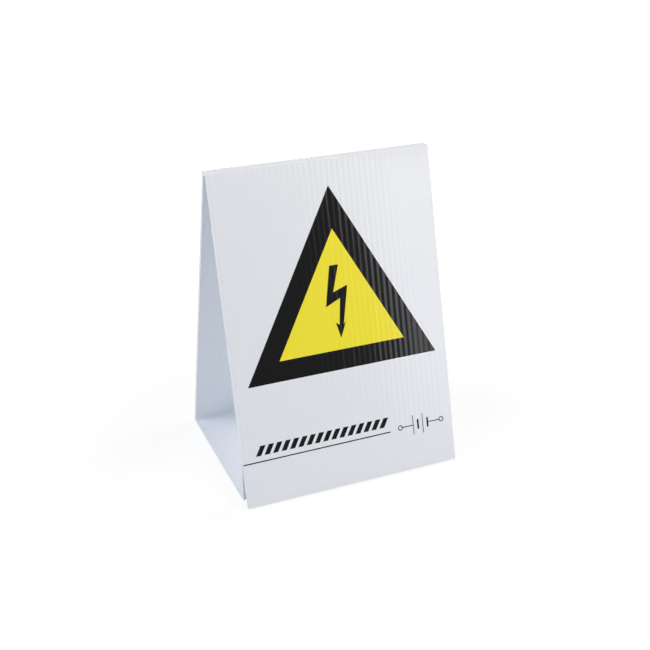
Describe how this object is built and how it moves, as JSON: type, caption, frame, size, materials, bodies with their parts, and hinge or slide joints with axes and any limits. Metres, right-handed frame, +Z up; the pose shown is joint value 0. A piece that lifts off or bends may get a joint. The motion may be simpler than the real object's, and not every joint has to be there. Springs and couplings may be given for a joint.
{
  "type": "high voltage warning sign",
  "caption": "Free-standing warning sign folded from one fluted plastic sheet into a tent with a closed foot, with a high voltage triangle on its leaning front panel.",
  "frame": {"origin": "on the ground, under the middle of the folded sheet's box", "axes": "+X across the flutes, to the right as the front is seen; -Y out of the front panel; +Z up"},
  "size_m": [0.21, 0.1698, 0.2902],
  "materials": {
    "white_sheet": "satin",
    "black_print": "satin",
    "yellow_print": "satin"
  },
  "bodies": {
    "root": {"folded_sheet": "white_sheet"}
  },
  "joints": []
}
